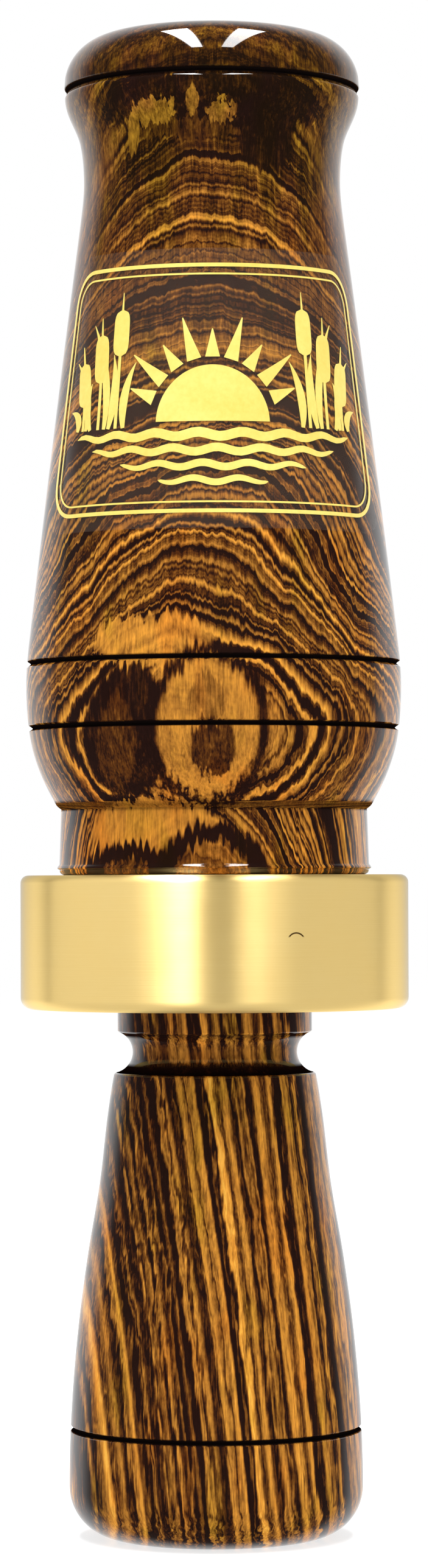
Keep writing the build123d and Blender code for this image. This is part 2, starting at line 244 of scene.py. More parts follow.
def finish_mesh(name, mesh_data, body, material):
    """Turns a bmesh into a smooth object that rides on a body with a material."""
    bmesh.ops.recalc_face_normals(mesh_data, faces=mesh_data.faces)
    for face in mesh_data.faces:
        face.smooth = True
    for edge in mesh_data.edges:
        if len(edge.link_faces) == 2 and edge.calc_face_angle(0) > SHARP_TURN:
            edge.smooth = False
    mesh = bpy.data.meshes.new(name)
    mesh_data.to_mesh(mesh)
    mesh_data.free()
    piece = add_object(name, mesh)
    mesh.materials.append(material)
    if body:
        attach(piece, body)
    return piece


def lathe(name, outline, body, material, segments=LATHE_SEGMENTS):
    """Turns a closed outline of (radius, height, char_and_shade) about the bore's axis. The third
    number darkens burned lines, the step under the belly and, as painted shade, the ends of the cove.
    """
    made = bmesh.new()
    char_and_shade_layer = made.verts.layers.float.new("char_and_shade")
    rings = []
    for radius, height, *char_and_shade in outline:
        ring = []
        for step in range(segments):
            turn = 2 * math.pi * step / segments
            vert = made.verts.new(
                (radius * math.sin(turn) * MM, -radius * math.cos(turn) * MM, height * MM)
            )
            vert[char_and_shade_layer] = char_and_shade[0] if char_and_shade else 0.0
            ring.append(vert)
        rings.append(ring)
    for lower, upper in zip(rings, rings[1:] + rings[:1]):
        for step in range(segments):
            following = (step + 1) % segments
            made.faces.new((lower[step], lower[following], upper[following], upper[step]))
    return finish_mesh(name, made, body, material)


def add_plate(made, grid, thickness_step):
    """Adds a closed thin plate: a grid of points and the same grid moved out by thickness_step."""
    rows, columns = len(grid), len(grid[0])
    lower = [[made.verts.new(point) for point in row] for row in grid]
    upper = [[made.verts.new(thickness_step(point)) for point in row] for row in grid]
    for i in range(rows - 1):
        for j in range(columns - 1):
            made.faces.new((upper[i][j], upper[i][j + 1], upper[i + 1][j + 1], upper[i + 1][j]))
            made.faces.new((lower[i][j], lower[i + 1][j], lower[i + 1][j + 1], lower[i][j + 1]))
    rim = [(0, j) for j in range(columns)]
    rim += [(i, columns - 1) for i in range(1, rows)]
    rim += [(rows - 1, j) for j in range(columns - 2, -1, -1)]
    rim += [(i, 0) for i in range(rows - 2, 0, -1)]
    for (i, j), (k, m) in zip(rim, rim[1:] + rim[:1]):
        made.faces.new((lower[i][j], lower[k][m], upper[k][m], upper[i][j]))


# ---- Shader maths ----
class Nodes:
    """A node tree, with short calls for the maths that materials and the world need."""

    def __init__(self, owner):
        owner.use_nodes = True
        self.tree = owner.node_tree

    def new(self, kind):
        """A new node of a kind."""
        return self.tree.nodes.new(f"ShaderNode{kind}")

    def put(self, value, socket):
        """Sets a socket to a number or colour, or links it to another socket."""
        if isinstance(value, bpy.types.NodeSocket):
            self.tree.links.new(value, socket)
        else:
            socket.default_value = value

    def math(self, operation, *values, clamp=False, kind="Math"):
        """The result of a maths node."""
        node = self.new(kind)
        node.operation = operation
        if clamp:
            node.use_clamp = True
        for value, socket in zip(values, node.inputs):
            self.put(value, socket)
        return node.outputs[0]

    def add(self, *values):
        """The sum of two or more values."""
        total = values[0]
        for value in values[1:]:
            total = self.math("ADD", total, value)
        return total

    def less(self, a, b):
        """The first value less the second."""
        return self.math("SUBTRACT", a, b)

    def times(self, a, b):
        """The product of two values."""
        return self.math("MULTIPLY", a, b)

    def weigh(self, *terms):
        """The sum of values that each have a weight."""
        return self.add(*(self.times(value, weight) for value, weight in terms))

    def vector(self, operation, *values):
        """The result of a vector maths node."""
        return self.math(operation, *values, kind="VectorMath")

    def split(self, vector):
        """The three parts of a vector."""
        node = self.new("SeparateXYZ")
        self.put(vector, node.inputs[0])
        return node.outputs[:3]

    def smooth(self, value, low, high, to_low=0.0, to_high=1.0):
        """A smooth step of a value from one pair of limits to another."""
        node = self.new("MapRange")
        node.interpolation_type = "SMOOTHSTEP"
        for given, socket in zip((value, low, high, to_low, to_high), node.inputs):
            self.put(given, socket)
        return node.outputs[0]

    def ramp(self, value, low, high, stops, interpolation="LINEAR"):
        """A colour ramp of (value, colour) stops."""
        share = self.math("DIVIDE", self.less(value, low), high - low, clamp=True)
        node = self.new("ValToRGB")
        node.color_ramp.interpolation = interpolation
        elements = node.color_ramp.elements
        while len(elements) < len(stops):
            elements.new(0.5)
        for element, (at, colour) in zip(elements, stops):
            element.position = (at - low) / (high - low)
            element.color = colour
        self.put(share, node.inputs[0])
        return node.outputs[0]

    def mix(self, share, a, b, blend="MIX"):
        """A colour between a and b."""
        node = self.new("Mix")
        node.data_type = "RGBA"
        node.blend_type = blend
        colours = [s for s in node.inputs if s.type == "RGBA"]
        self.put(share, node.inputs[0])
        self.put(a, colours[0])
        self.put(b, colours[1])
        return [s for s in node.outputs if s.type == "RGBA"][0]


class Look(Nodes):
    """One material's nodes, with its textures in millimetres."""

    def __init__(self, name):
        self.material = bpy.data.materials.new(name)
        super().__init__(self.material)
        self.shader = self.tree.nodes["Principled BSDF"]
        coordinates = self.new("TexCoord").outputs["Object"]
        self.place = self.vector("MULTIPLY", coordinates, (1 / MM,) * 3)
        self.x, self.y, self.z = self.split(self.place)

    def noise_node(self, detail, roughness=0.5):
        """A noise node and its value, stretched to lie about 0 and mostly within -1 to 1."""
        node = self.new("TexNoise")
        for name, value in (("Scale", 1.0), ("Detail", detail), ("Roughness", roughness)):
            node.inputs[name].default_value = value
        return node, self.math("MULTIPLY_ADD", node.outputs[0], 4.0, -2.0)

    def noise(self, lengths, detail, offset, roughness=0.5):
        """Noise in space whose features are as long as lengths. The offset sets it apart."""
        scaled = self.vector("MULTIPLY", self.place, tuple(1 / n for n in lengths))
        moved = self.vector("ADD", scaled, (offset, 0.7 * offset, 1.3 * offset))
        node, value = self.noise_node(detail, roughness)
        self.put(moved, node.inputs["Vector"])
        return value

    def noise_along(self, value, length, detail, offset):
        """Noise along one value only."""
        node, result = self.noise_node(detail)
        node.noise_dimensions = "1D"
        self.put(self.math("MULTIPLY_ADD", value, 1 / length, offset), node.inputs["W"])
        return result

    def between(self, pattern, amount, one, other):
        """A colour that a pattern about 0 moves from halfway towards one sRGB colour or the other."""
        share = self.math("MULTIPLY_ADD", pattern, amount, 0.5, clamp=True)
        return self.mix(share, linear(one), linear(other))

    def grey(self, value):
        """A colour whose channels all have the value."""
        node = self.new("CombineColor")
        for socket in node.inputs[:3]:
            self.put(value, socket)
        return node.outputs[0]

    def attribute(self, name):
        """The value that the mesh stores under a name."""
        node = self.new("Attribute")
        node.attribute_name = name
        return node.outputs["Fac"]

    def bump(self, height, distance, strength):
        """Feeds a height to the shader's normal."""
        node = self.new("Bump")
        node.inputs["Strength"].default_value = strength
        node.inputs["Distance"].default_value = distance * MM
        self.put(height, node.inputs["Height"])
        self.put(node.outputs[0], self.shader.inputs["Normal"])

    def set(self, **values):
        """Sets the shader's sockets, named in lower case with underscores."""
        for name, value in values.items():
            self.put(value, self.shader.inputs[name.replace("_", " ").title().replace("Ior", "IOR")])


# ---- Bocote ----
# The wood's colours by its value, from the ink lines to the palest straw.
WOOD_TONES = (
    (-0.46, linear((0.12, 0.06, 0.045))),
    (-0.3, linear((0.21, 0.105, 0.05))),
    (-0.13, linear((0.33, 0.185, 0.065))),
    (0.03, linear((0.45, 0.28, 0.1))),
    (0.22, linear((0.59, 0.385, 0.145))),
    (0.44, linear((0.71, 0.475, 0.175))),
    (0.74, linear((0.81, 0.545, 0.195))),
    (1.0, linear((0.88, 0.64, 0.26))),
)
EYE_HEIGHT = 72.3
NECK_ARCH_HEIGHT = 47.0
NECK_ARCH_SPREAD = 30.0
STRIPE_LENGTH = 1.3
BROAD_STRIPE_LENGTH = 2.9


def around_axis(look, turn):
    """Twice one less the cosine of the angle from the front, which is turned by `turn` radians."""
    side = look.times(look.x, look.math("SINE", turn))
    front = look.times(look.y, look.math("COSINE", turn))
    towards = look.less(side, front)
    away = look.math("SQRT", look.add(look.times(look.x, look.x), look.times(look.y, look.y), 0.01))
    cosine = look.math("DIVIDE", towards, away)
    return look.math("MULTIPLY_ADD", cosine, -2.0, 2.0)


def arches(look, chord, height, spread):
    """Distance from a point on the front at a height. Spread says how wide it counts sideways."""
    rise = look.less(look.z, height)
    aside = look.times(look.times(spread, spread), chord)
    return look.math("SQRT", look.add(look.times(rise, rise), aside))


def blot(look, comb, x, z, half_width, half_height):
    """1 inside an ellipse on the front of a piece and 0 outside, with an edge that follows fibres."""
    across = look.math("DIVIDE", look.less(look.x, x), half_width)
    height = look.math("MULTIPLY_ADD", comb, 0.9, look.z)
    up = look.math("DIVIDE", look.less(height, z), half_height)
    reach = look.add(look.times(across, across), look.times(up, up))
    front = look.smooth(look.y, -1.0, -4.0)
    return look.times(look.smooth(reach, 1.25, 0.85), front)


def blot_ring(look, comb, x, z, half_width, half_height, thickness):
    """Like blot, for a ring of a thickness along the ellipse."""
    half = thickness / 2
    outer = blot(look, comb, x, z, half_width + half, half_height + half)
    inner = blot(look, comb, x, z, half_width - half, half_height - half)
    return look.math("SUBTRACT", outer, inner, clamp=True)


def flanks(look, comb, turn_degrees, low, high):
    """1 on the sides and back of a piece above a height, with the front left out."""
    chord = around_axis(look, 0.0)
    edge = 2 - 2 * math.cos(math.radians(turn_degrees))
    side = look.smooth(look.math("MULTIPLY_ADD", comb, 0.06, chord), 0.7 * edge, 1.5 * edge)
    return look.times(side, look.smooth(look.z, low, high))


def belt(look, comb, low, low_full, high_full, high):
    """1 between two heights all round a piece."""
    rising = look.smooth(look.z, low, low_full)
    return look.times(rising, look.smooth(look.z, high, high_full))


def lacquered_wood(look, figure, tone, shares, ring_length, patches, olive=0.0):
    """Bocote under clear lacquer.

    figure counts the growth rings in mm and tone lightens or darkens. shares says how much the
    single rings, the bands of rings and the broad bands show. Each patch is a maker of a mask,
    its arguments, the tone it pulls the wood to and how strongly. olive leans the colour to green.
    """
    comb = look.noise((0.42, 0.42, 5.0), 2.0, 11.0)
    drift = look.noise((1.5, 1.5, 9.0), 1.0, 12.0)
    fibre = look.noise((0.16, 0.16, 2.2), 2.0, 21.0, 0.6)
    strands = look.noise((0.34, 0.34, 7.0), 2.0, 25.0, 0.6)
    specks = look.noise((0.3, 0.3, 0.5), 2.0, 27.0, 0.6)
    mottle = look.noise((1.1, 1.1, 2.4), 2.0, 29.0)
    grain = look.add(figure, look.weigh((comb, 0.24), (drift, 0.22)))
    rings = look.noise_along(grain, 0.62 * ring_length, 2.0, 3.0)
    bands = look.noise_along(grain, 2.1 * ring_length, 1.0, 13.3)
    broad = look.noise_along(grain, 7.0 * ring_length, 1.0, 8.7)
    value = look.add(look.weigh(*zip((rings, bands, broad), shares)), tone)
    for maker, place, level, strength in patches:
        mask = look.times(maker(look, comb, *place), strength)
        pull = look.less(level, value)
        value = look.math("MULTIPLY_ADD", pull, mask, value)
    fine = look.weigh((fibre, 0.14), (strands, 0.12), (specks, 0.1), (mottle, 0.13))
    value = look.add(value, fine)
    wood = look.ramp(value, -1.0, 1.0, WOOD_TONES)
    # Patches of the heartwood lean to red and to olive.
    tint = look.less(look.noise((3.0, 3.0, 9.0), 2.0, 31.0), olive)
    red = look.smooth(tint, 0.05, 0.8, 0.0, 0.5)
    green = look.smooth(tint, -0.05, -1.3, 0.0, 0.85)
    wood = look.mix(red, wood, linear((1.0, 0.88, 0.78)), "MULTIPLY")
    wood = look.mix(green, wood, linear((0.88, 0.98, 0.72)), "MULTIPLY")
    streak = look.math("MULTIPLY_ADD", fibre, 0.2, 1.0)
    wood = look.mix(1.0, wood, look.grey(streak), "MULTIPLY")
    # The char_and_shade attribute darkens the burned lines and the step under the belly, and paints
    # shade at both ends of the end piece's cove.
    wood = look.mix(look.attribute("char_and_shade"), wood, linear((0.055, 0.035, 0.032)))
    look.bump(look.add(fibre, look.times(rings, 0.5)), 0.012, 0.5)
    look.set(base_color=wood, roughness=0.42, specular_ior_level=0.0)
    # The lacquer is thin and dull on the burned lines, the darkened step and the painted shade.
    lacquer = look.smooth(look.attribute("char_and_shade"), 0.1, 0.45, 1.0, 0.0)
    look.set(coat_weight=lacquer, coat_roughness=0.045, coat_ior=1.5)
    return look.material


def barrel_wood():
    """Figure of the barrel: arches that rise from a closed eye on the front of the belly."""
    look = Look("bocote_barrel")
    turn = look.smooth(look.z, 78.0, 112.0, math.radians(-9), 0.0)
    chord = around_axis(look, turn)
    spread = look.add(
        look.smooth(look.z, 72.0, 88.0, 12.5, 21.5),
        look.smooth(look.z, 84.0, 116.0, 0.0, 4.5),
    )
    # The rings lie closer together towards the waist.
    closer = look.smooth(look.z, 92.0, 114.0, 1.0, 1.3)
    body = look.times(arches(look, chord, EYE_HEIGHT, spread), closer)
    neck = arches(look, chord, NECK_ARCH_HEIGHT, NECK_ARCH_SPREAD)
    below = look.smooth(look.z, BEAD_EDGE[1] + 0.2, BEAD_EDGE[1] - 0.5)
    figure = look.weigh(
        (body, look.less(1.0, below)),
        (neck, below),
        (look.noise((11.0, 11.0, 15.0), 1.0, 5.0), 1.1),
        (look.noise((3.5, 3.5, 7.0), 1.0, 6.0), 0.4),
    )
    tone = look.add(
        look.smooth(look.z, 75.0, 84.0, -0.06, -0.125),
        look.smooth(look.z, 92.0, 114.0, 0.0, -0.07),
    )
    patches = (
        # The upper body is darker, and its flanks and back are plainer.
        (belt, (98.0, 108.0, 124.0, 128.0), -0.14, 0.46),
        (flanks, (46.0, 104.0, 119.0), -0.04, 0.7),
        # The blotch at the eye's left, and the amber field over both.
        (blot, (-7.6, 71.9, 3.6, 5.8), -0.5, 0.92),
        (blot, (-8.5, 71.0, 1.7, 4.2), 0.0, 0.5),
        (blot, (-5.2, 79.8, 5.2, 2.2), 0.56, 0.8),
        # The eye: its dark ring, amber disc, cap and pupil.
        (blot_ring, (-0.5, EYE_HEIGHT, 4.7, 6.3, 1.1), -0.6, 0.9),
        (blot, (-0.5, EYE_HEIGHT, 4.4, 6.0), 0.44, 0.85),
        (blot, (-0.5, 74.9, 1.7, 1.8), 0.02, 0.75),
        (blot, (-0.1, 70.5, 1.9, 2.5), -0.25, 0.95),
        # The dark cloud under the lip, with its amber marks.
        (blot, (0.0, 127.4, 9.2, 2.8), -0.5, 0.85),
        (blot, (4.7, 125.2, 2.5, 3.8), -0.5, 0.85),
        (blot, (-2.0, 124.9, 4.6, 0.9), -0.16, 0.85),
        (blot, (-5.1, 126.6, 2.0, 1.1), 0.28, 0.9),
        (blot, (-6.9, 124.9, 0.5, 2.0), 0.25, 0.85),
        (blot, (-1.7, 127.2, 0.6, 1.5), 0.2, 0.9),
        (blot, (0.8, 126.5, 1.4, 0.9), 0.2, 0.9),
        # The neck's amber field and its two small arches.
        (blot, (-5.0, 63.4, 5.6, 2.7), 0.44, 0.9),
        (blot, (-7.8, 59.2, 2.9, 2.2), -0.2, 0.8),
        (blot, (-0.2, 59.2, 3.8, 3.6), 0.05, 0.7),
        (blot_ring, (-7.8, 59.2, 2.9, 2.3, 1.3), -0.65, 0.95),
        (blot_ring, (-0.2, 59.2, 4.0, 3.8, 1.5), -0.65, 0.95),
        # The lip is dark all round.
        (belt, (129.7, 130.1, 136.0, 137.0), -0.3, 0.72),
    )
    olive = look.smooth(look.z, 110.0, 126.0, 0.0, 0.9)
    return lacquered_wood(look, figure, tone, (0.74, 0.36, 0.24), 1.2, patches, olive)


def end_piece_wood():
    """Figure of the end piece: straight stripes that lean a little from the bore's axis."""
    look = Look("bocote_end_piece")
    lean = look.times(look.z, 0.115)
    depth = look.times(look.y, 0.1)
    sway = look.times(look.noise((9.0, 9.0, 40.0), 1.0, 41.0), 0.25)
    figure = look.add(look.x, lean, depth, sway, 40.0)
    wander = look.noise_along(figure, 1.1, 1.0, 4.0)
    stripe = look.weigh((figure, math.tau / STRIPE_LENGTH), (wander, 1.6))
    broad_stripe = look.weigh((figure, math.tau / BROAD_STRIPE_LENGTH), (wander, 0.7))
    tone = look.add(
        look.weigh((look.math("SINE", stripe), 0.3), (look.math("SINE", broad_stripe), 0.26)),
        look.smooth(look.z, 47.0, 36.0, -0.12, 0.03),
        look.smooth(look.x, -3.0, -9.0, 0.0, -0.12),
    )
    # The cove gets a painted pale band of reflected light in its middle and painted shade at its
    # foot.
    patches = (
        (belt, (42.5, 43.0, 44.0, 44.6), 0.2, 0.4),
        (belt, (41.55, 41.75, 42.3, 43.0), -0.6, 0.85),
    )
    return lacquered_wood(look, figure, tone, (0.55, 0.3, 0.15), 0.9, patches)


# ---- The other materials ----
NICK_PLACE = (7.1, 53.6)
NICK_RADIUS = 0.72


def brass():
    """Satin brass, brushed around the axis, with one small nick."""
    look = Look("satin_brass")
    tangent = look.new("Tangent")
    tangent.direction_type = "RADIAL"
    tangent.axis = "Z"
    look.put(tangent.outputs[0], look.shader.inputs["Tangent"])
    lines = look.noise((9.0, 9.0, 0.05), 2.0, 2.0, 0.6)
    clouds = look.noise((4.0, 4.0, 3.0), 2.0, 7.0)
    uneven = look.add(lines, clouds)
    colour = look.between(uneven, 0.16, (0.92, 0.79, 0.49), (0.96, 0.845, 0.56))
    # A small crescent nick on the front, right of the middle.
    across = look.less(look.x, NICK_PLACE[0])
    up = look.less(look.z, NICK_PLACE[1])
    away = look.math("SQRT", look.add(look.times(across, across), look.times(up, up)))
    off_line = look.math("ABSOLUTE", look.less(away, NICK_RADIUS))
    nick = look.times(
        look.times(look.smooth(off_line, 0.1, 0.03), look.smooth(up, 0.3, 0.45)),
        look.smooth(look.y, -1.0, -4.0),
    )
    colour = look.mix(nick, colour, linear((0.3, 0.21, 0.1)))
    roughness = look.math("MULTIPLY_ADD", uneven, 0.02, 0.35)
    look.bump(look.math("MULTIPLY_ADD", nick, -6.0, lines), 0.004, 0.4)
    look.set(base_color=colour, metallic=1.0, roughness=roughness, anisotropic=1.0)
    look.set(anisotropic_rotation=0.25, specular_tint=linear((0.82, 0.82, 0.8)))
    return look.material


def film():
    """The clear carrier of the print, a little hazy."""
    look = Look("clear_film")
    haze = look.noise((1.2, 1.2, 1.2), 2.0, 9.0)
    colour = look.between(haze, 0.2, (0.5, 0.42, 0.38), (0.62, 0.53, 0.46))
    look.set(base_color=colour, alpha=0.06, roughness=0.3, coat_weight=1.0, coat_roughness=0.05)
    return look.material


def print_gold():
    """Pale gold ink with a faint foil mottle."""
    look = Look("print_gold")
    mottle = look.noise((0.5, 0.5, 0.5), 3.0, 4.0, 0.6)
    clouds = look.noise((6.0, 6.0, 4.0), 1.0, 14.0)
    uneven = look.add(mottle, clouds)
    colour = look.between(uneven, 0.22, (0.93, 0.81, 0.35), (1.0, 0.92, 0.52))
    look.set(base_color=colour, roughness=0.4, metallic=0.15)
    look.set(coat_weight=0.6, coat_roughness=0.06)
    return look.material


def acetal():
    """Black machined plastic with fine tool marks."""
    look = Look("black_acetal")
    marks = look.noise((3.0, 3.0, 0.08), 2.0, 5.0)
    scuffs = look.noise((0.6, 0.6, 2.0), 3.0, 6.0, 0.6)
    colour = look.between(scuffs, 0.3, (0.1, 0.1, 0.105), (0.17, 0.17, 0.175))
    roughness = look.math("MULTIPLY_ADD", scuffs, 0.06, 0.38)
    look.bump(marks, 0.006, 0.5)
    look.set(base_color=colour, roughness=roughness)
    return look.material


def reed_plastic():
    """Frosted polyester film."""
    look = Look("reed_polyester")
    frost = look.noise((0.35, 0.35, 0.35), 3.0, 5.0, 0.6)
    colour = look.between(frost, 0.25, (0.8, 0.84, 0.84), (0.93, 0.95, 0.94))
    look.bump(frost, 0.004, 0.4)
    look.set(base_color=colour, roughness=0.3, transmission_weight=0.35, ior=1.57)
    return look.material


def cork():
    """Sanded cork with dark lenticels."""
    look = Look("sanded_cork")
    grains = look.noise((0.7, 0.7, 0.9), 3.0, 5.0, 0.65)
    pits = look.noise((0.35, 0.35, 0.9), 2.0, 16.0)
    stops = (
        (-1.0, linear((0.36, 0.22, 0.12))),
        (-0.2, linear((0.66, 0.46, 0.29))),
        (1.0, linear((0.83, 0.66, 0.47))),
    )
    colour = look.ramp(grains, -1.0, 1.0, stops)
    dark = look.smooth(pits, 0.45, 0.85, 0.0, 0.75)
    colour = look.mix(dark, colour, linear((0.24, 0.13, 0.07)))
    look.bump(look.add(grains, look.times(pits, -0.8)), 0.08, 0.7)
    look.set(base_color=colour, roughness=0.88)
    return look.material


def rubber():
    """Matte black O-ring rubber with a trace of grease."""
    look = Look("o_ring_rubber")
    bloom = look.noise((0.8, 0.8, 0.8), 3.0, 5.0, 0.6)
    colour = look.between(bloom, 0.3, (0.07, 0.07, 0.072), (0.13, 0.13, 0.13))
    roughness = look.math("MULTIPLY_ADD", bloom, 0.08, 0.46)
    look.bump(bloom, 0.006, 0.4)
    look.set(base_color=colour, roughness=roughness)
    return look.material


# ---- The turned pieces ----
body_slope = (-math.sin(BODY_TAPER), math.cos(BODY_TAPER))
barrel_outside = smooth_curve(BELLY, (0.6, 1), body_slope, 14)
barrel_outside += three_point_arc(*BODY, steps=60)[1:]
barrel_outside += smooth_curve(WAIST, body_slope, (0, 1), 12)[1:]


def make_barrel():
    """The barrel, with its burned lines, mouth bore and socket."""
    lip_crest = LIP_START[0] - LIP_ROUND
    inner_round = lip_crest - MOUTH_RADIUS
    seat = [(SEAT_RADIUS, JOINT_HEIGHT), (SEAT_RADIUS, BAND_TOP)]
    foot = BAND_TOP + SHOULDER_ROUND
    shoulder = arc((NECK_BOTTOM_RADIUS - SHOULDER_ROUND, foot), SHOULDER_ROUND, -90, 0, 6)
    shoulder += [(NECK_BOTTOM_RADIUS + out, foot + height) for out, height in LACQUER_BEAD]
    # The neck's even taper starts above the bead.
    steps = 8
    taper = NECK_TOP[0] - NECK_BOTTOM_RADIUS
    neck = [
        (NECK_BOTTOM_RADIUS + taper * i / steps, foot + (NECK_TOP[1] - foot) * i / steps)
        for i in range(2, steps + 1)
    ]
    # The step under the belly is darkened too.
    step = [
        (NECK_TOP[0], NECK_TOP[1] + 0.12, 0.2),
        (NECK_TOP[0] - 0.05, NECK_TOP[1] + 0.3, 0.5),
        (BEAD_EDGE[0] - 0.12, BEAD_EDGE[1] - 0.14, 0.65),
    ]
    outside = barrel_outside + arc((lip_crest, LIP_START[1]), LIP_ROUND, 0, 90, 20)[1:]
    # The bead's lower edge is darkened as well.
    for i, char_and_shade in enumerate((0.55, 0.25)):
        outside[i] = (*outside[i], char_and_shade)
    for height, softness in BARREL_LINES:
        outside = burn_line(outside, height, softness)
    inside = arc((lip_crest, OVERALL_LENGTH - inner_round), inner_round, 90, 180, 10)[1:]
    inside += [
        (MOUTH_RADIUS, SOCKET_TOP + SOCKET_RADIUS - MOUTH_RADIUS),
        (SOCKET_RADIUS, SOCKET_TOP),
        (SOCKET_RADIUS, JOINT_HEIGHT + SOCKET_CHAMFER),
        (SOCKET_RADIUS + SOCKET_CHAMFER, JOINT_HEIGHT),
    ]
    outline = seat + shoulder + neck + step + outside + inside
    piece = lathe("barrel_body", outline, "barrel", barrel_wood())
    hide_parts("barrel")


def make_band():
    """The brass band, with rounded rims."""
    low_round = 1.0
    high_round = 0.7
    low_chamfer = 0.12
    high_chamfer = 0.15
    land = 0.6
    outline = [(SEAT_RADIUS + low_chamfer, JOINT_HEIGHT), (SEAT_RADIUS + land, JOINT_HEIGHT)]
    outline += arc((BAND_RADIUS - low_round, JOINT_HEIGHT + low_round), low_round, -90, 0, 10)
    outline += arc((BAND_RADIUS - high_round, BAND_TOP - high_round), high_round, 0, 90, 10)
    outline += [
        (SEAT_RADIUS + high_chamfer, BAND_TOP),
        (SEAT_RADIUS, BAND_TOP - high_chamfer),
        (SEAT_RADIUS, JOINT_HEIGHT + low_chamfer),
    ]
    piece = lathe("brass_band", outline, "barrel", brass())
    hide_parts("band")
    return piece


def make_end_piece():
    """The end piece: collar, lanyard cove, flared bell and its bore."""
    high_chamfer = 0.25
    low_chamfer = 0.1
    edge_round = 0.3
    collar = [
        (SPIGOT_RADIUS, JOINT_HEIGHT),
        (COLLAR_RADIUS - high_chamfer, JOINT_HEIGHT),
        (COLLAR_RADIUS, JOINT_HEIGHT - high_chamfer),
        (COLLAR_RADIUS, COLLAR_BOTTOM + low_chamfer),
        (COLLAR_RADIUS - low_chamfer, COLLAR_BOTTOM),
    ]
    cove_end = (BELL_TOP_RADIUS - edge_round, COVE_BOTTOM)
    cove = three_point_arc(collar[-1], (COVE_RADIUS, COVE_MIDDLE), cove_end, 28)[1:]
    edge = arc((cove_end[0], COVE_BOTTOM - edge_round), edge_round, 90, 0, 6)[1:]
    bell = (edge[-1], *BELL_CURVE, (BELL_RADIUS, BELL_ROUND))
    flare = smooth_curve(bell, (0.2, -1), (0, -1), 14)[1:]
    outside = burn_line(flare, BELL_LINE)
    bottom = arc((BELL_RADIUS - BELL_ROUND, BELL_ROUND), BELL_ROUND, 0, -90, 18)[1:]
    mouth = (BELL_MOUTH_RADIUS + BELL_MOUTH_ROUND, BELL_MOUTH_ROUND)
    bottom += arc(mouth, BELL_MOUTH_ROUND, -90, -180, 6)
    bore = [
        (EXHAUST_RADIUS, EXHAUST_BOTTOM),
        (EXHAUST_RADIUS, JOINT_HEIGHT - SPIGOT_LENGTH),
        (SPIGOT_RADIUS, JOINT_HEIGHT - SPIGOT_LENGTH),
    ]
    # Painted shade darkens the cove where it meets the collar and the bell.
    cove = [
        (radius, height, max(0.0, height - COVE_SHADE_HEIGHTS[0], 0.9 * (COVE_SHADE_HEIGHTS[1] - height)))
        for radius, height in cove
    ]
    outline = collar + cove + edge + outside + bottom + bore
    piece = lathe("end_piece_body", outline, "insert", end_piece_wood())
    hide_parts("end_piece")


def make_o_rings(material):
    """The two O-rings, each with the fine parting line that moulding leaves."""
    parting_depth = 0.02
    for name in ("lower_o_ring", "upper_o_ring"):
        low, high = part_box(name)
        cord = (high.z - low.z) / 2 / MM
        path = high.x / MM - cord
        middle = (low.z + high.z) / 2 / MM
        outline = arc((path, middle), cord, 0, 360, 40)[:-1]
        outline[0] = (outline[0][0] - parting_depth, outline[0][1])
        piece = lathe(
            f"{name}_cord", outline, "o_rings", material, O_RING_SEGMENTS
        )
        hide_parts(name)


# ---- The emblem film and its print ----
PRINT_CENTRE = (FILM_BOTTOM + FILM_TOP) / 2
WRAP_RADIUS = 14.2
FILM_LIFT = 0.02
FILM_THICKNESS = 0.06
PRINT_THICKNESS = 0.03
PRINT_MESH_STEP = 0.7
FRAME_MESH_STEP = 0.8
FILM_HALF_ANGLE = math.radians(76)
FILM_CORNER = 4.0
# The frame's two lines: half width, half height, corner and the line's own half width.
FRAME_LINES = ((16.6, 10.9, 3.0, 0.17), (15.8, 10.1, 2.3, 0.08))
HORIZON = -3.4
SUN_FOOT = HORIZON + 0.4
SUN_RADIUS = 5.0
RAY_COUNT = 9
RAY_START = 5.7
RAY_ENDS = (8.2, 9.6)
RAY_HALF_WIDTH = 0.62
RAY_STEPS = 8
# Each ripple: half its length, and half its thickness.
RIPPLES = ((13.6, 0.42), (11.4, 0.36), (8.2, 0.32), (4.6, 0.28))
RIPPLE_SPACING = 1.35
RIPPLE_HEIGHT = 0.2
RIPPLE_LENGTH = 3.8
RIPPLE_STEPS = 48
# Each cattail: its foot, its lean at the top, and the lower and upper end of its head.
CATTAILS = ((9.0, 0.1, 3.0, 7.2), (11.0, 0.6, 0.7, 5.1), (13.0, 1.1, -1.3, 2.7))
SPIKE_LENGTH = 1.5
STEM_HALF_WIDTHS = [0.16] * 16 + [0.14, 0.12, 0.1, 0.07, 0.03]
HEAD_HALF_WIDTH = 0.85
HEAD_STEPS = 16
# Each blade: its foot, its tip, the tip's height over the horizon, and its bow.
BLADES = (
    (8.2, 7.2, 5.8, 0.5),
    (9.8, 9.7, 6.6, -0.4),
    (10.3, 12.6, 9.4, -0.9),
    (12.0, 12.2, 4.2, 0.5),
    (12.6, 14.8, 6.2, -0.9),
    (13.8, 15.0, 1.8, -0.6),
)
BLADE_STEPS = 14
BLADE_PEAK = 0.4
# At a blade's foot, at its peak and at its tip.
BLADE_HALF_WIDTHS = (0.18, 0.42, 0.02)


def wrapped(across, up, lift):
    """A point of the flat artwork, wrapped on the barrel. across and up are from its centre."""
    turn = across / WRAP_RADIUS
    height = PRINT_CENTRE + up
    radius = radius_at(barrel_outside, height) + lift
    return Vector((radius * math.sin(turn), -radius * math.cos(turn), height)) * MM


def outwards(point, distance):
    """A point moved away from the bore's axis."""
    flat = Vector((point.x, point.y, 0))
    return point + flat.normalized() * distance * MM


